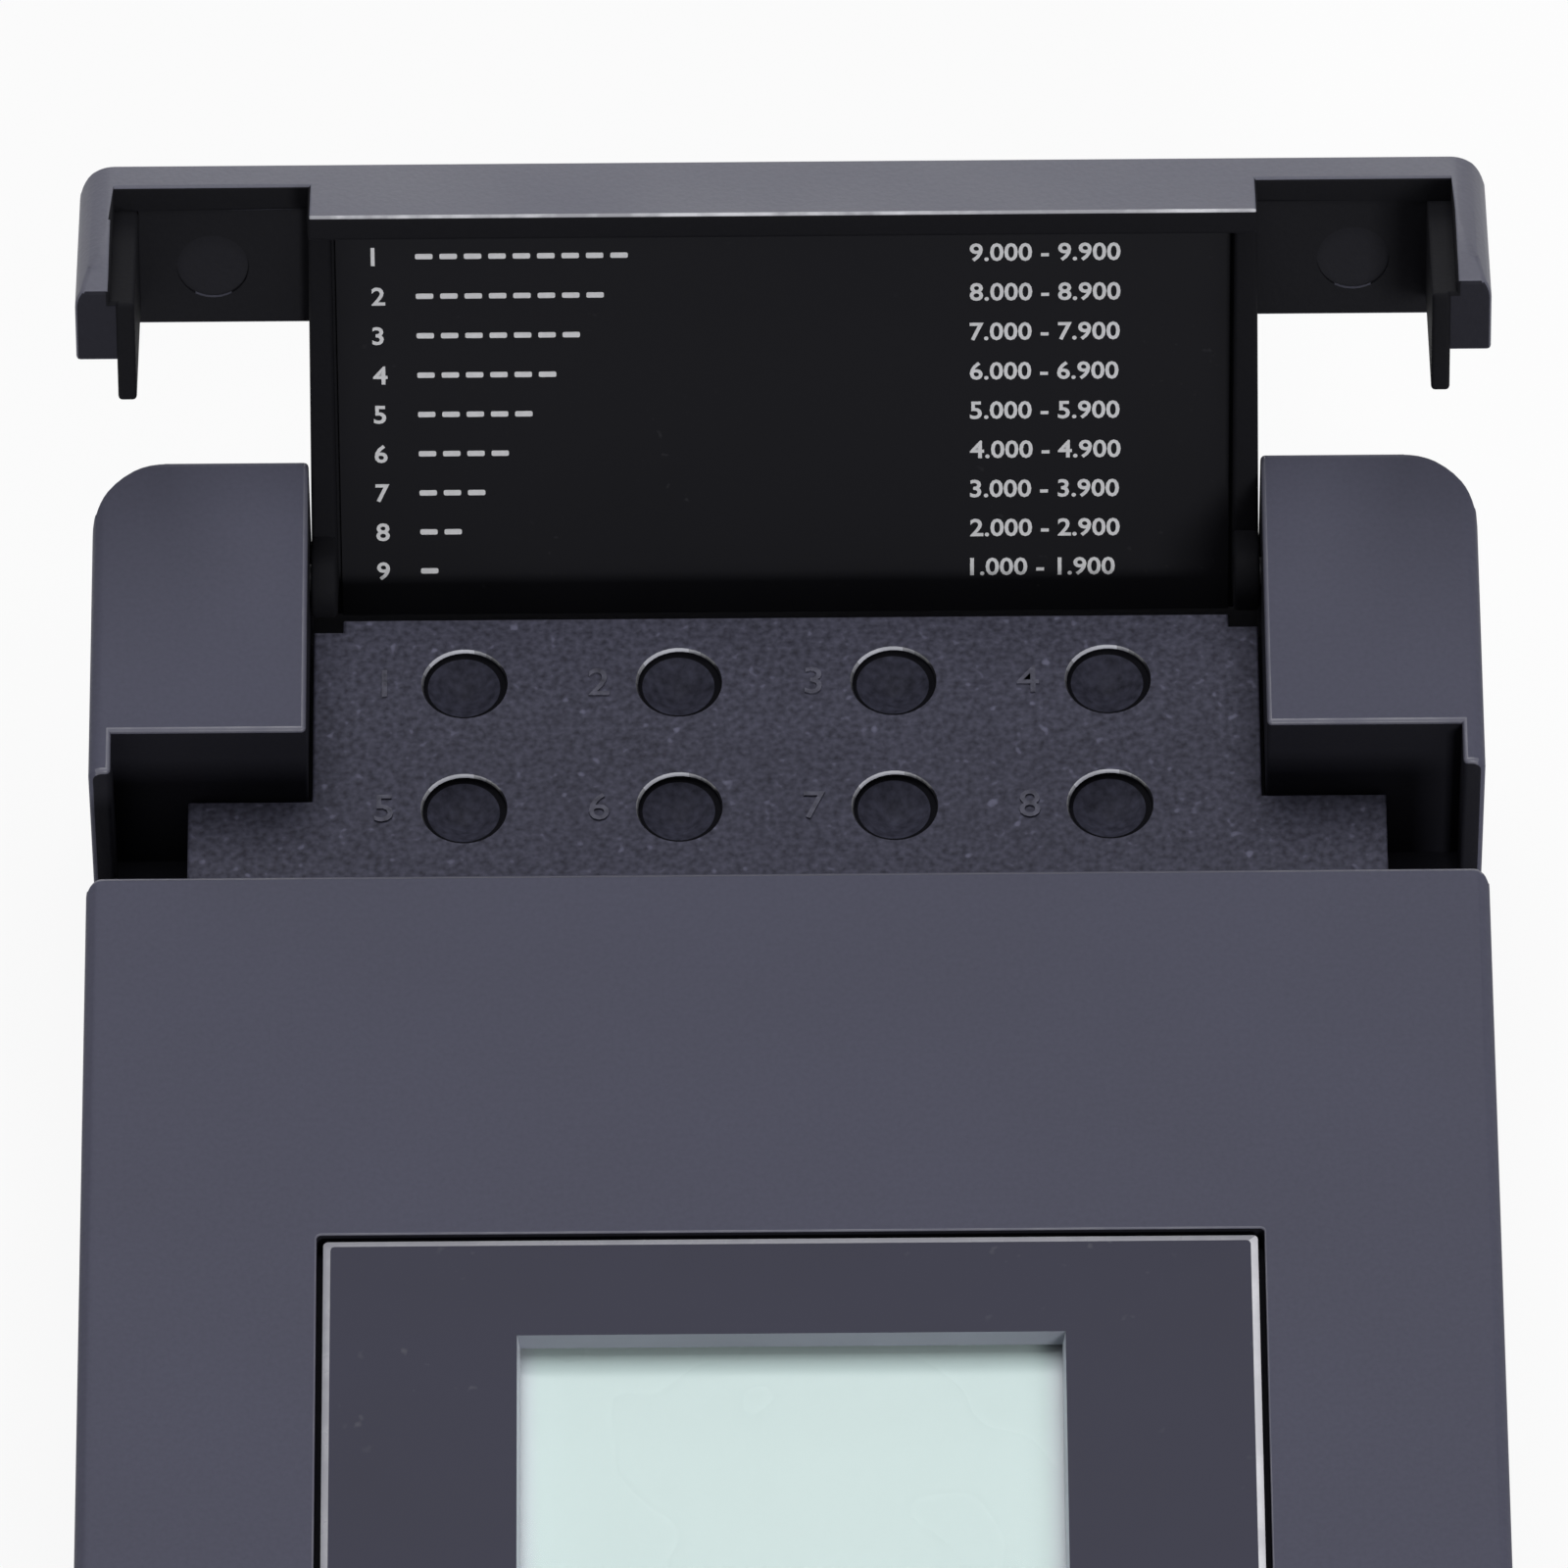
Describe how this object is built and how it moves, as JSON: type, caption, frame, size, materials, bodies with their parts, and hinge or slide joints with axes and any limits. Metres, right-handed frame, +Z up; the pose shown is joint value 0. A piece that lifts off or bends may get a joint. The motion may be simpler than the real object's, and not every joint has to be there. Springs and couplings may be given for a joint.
{
  "type": "gem refractometer",
  "caption": "Flat handheld digital gem meter with a flip-up lid over a stone tray, a display window, soft keys and a round metal test stage.",
  "frame": {"origin": "middle of the flat underside", "axes": "+Z up out of the deck, +Y along the case towards the lid's hinge, +X to the right when the display is read"},
  "size_m": [0.076, 0.1584, 0.0452],
  "materials": {
    "case_plastic": "fine matt moulded slate-grey plastic",
    "lid_plastic": "fine matt moulded slate-grey plastic",
    "tray_plastic": "coarse spark-eroded moulded plastic",
    "chart_print": "black printed film",
    "panel_print": "semi-gloss printed plate",
    "clear_pane": "clear acrylic",
    "lcd": "reflective liquid crystal glass",
    "black_plastic": "black moulded plastic",
    "key_rubber": "matt grey key",
    "elastomer": "conductive silicone",
    "board": "glass-fibre laminate with solder mask",
    "steel": "plated steel",
    "stage_metal": "turned stainless steel",
    "contact_metal": "nickel-plated spring brass",
    "cell_can": "plain printed cell sleeve, stands in for a cell of like weight",
    "diode_resin": "clear moulded resin"
  },
  "bodies": {
    "case": {"top_shell": "case_plastic", "bottom_shell": "case_plastic", "hinge_pins": "steel", "stone_tray": "tray_plastic", "display_bezel": "panel_print", "display_pane": "clear_pane", "lcd_glass": "lcd", "lcd_holder": "black_plastic", "elastomer_strips": "elastomer", "main_board": "board", "processor_chip": "black_plastic", "support_chips": "black_plastic", "beeper": "black_plastic", "tact_switches": "black_plastic", "aperture_plate": "stage_metal", "aperture_glass": "clear_pane", "optics_block": "black_plastic", "light_emitter": "diode_resin", "photodiode": "black_plastic", "optics_screws": "steel", "battery_cells": "cell_can", "battery_contacts": "contact_metal", "board_screws": "steel", "case_screws": "steel"},
    "lid": {"lid_cover": "lid_plastic", "lid_chart": "chart_print"},
    "battery_door": {"battery_door": "case_plastic"},
    "power_key": {"power_key": "key_rubber"},
    "scroll_key": {"scroll_key": "key_rubber"},
    "test_key": {"test_key": "key_rubber"}
  },
  "joints": [
    {"name": "lid_hinge", "type": "hinge", "parent": "case", "child": "lid", "pos_m": [0, 0.0702, 0.022], "axis": [1, 0, 0], "range_deg": [0, 110]},
    {"name": "battery_door_slide", "type": "slide", "parent": "case", "child": "battery_door", "axis": [0, -1, 0], "range_m": [0, 0.037]},
    {"name": "power_key_press", "type": "slide", "parent": "case", "child": "power_key", "axis": [0, 0, -1], "range_m": [0, 0.0005], "stiffness_N_per_m": 3000},
    {"name": "scroll_key_press", "type": "slide", "parent": "case", "child": "scroll_key", "axis": [0, 0, -1], "range_m": [0, 0.0005], "stiffness_N_per_m": 3000},
    {"name": "test_key_press", "type": "slide", "parent": "case", "child": "test_key", "axis": [0, 0, -1], "range_m": [0, 0.0005], "stiffness_N_per_m": 3000}
  ]
}
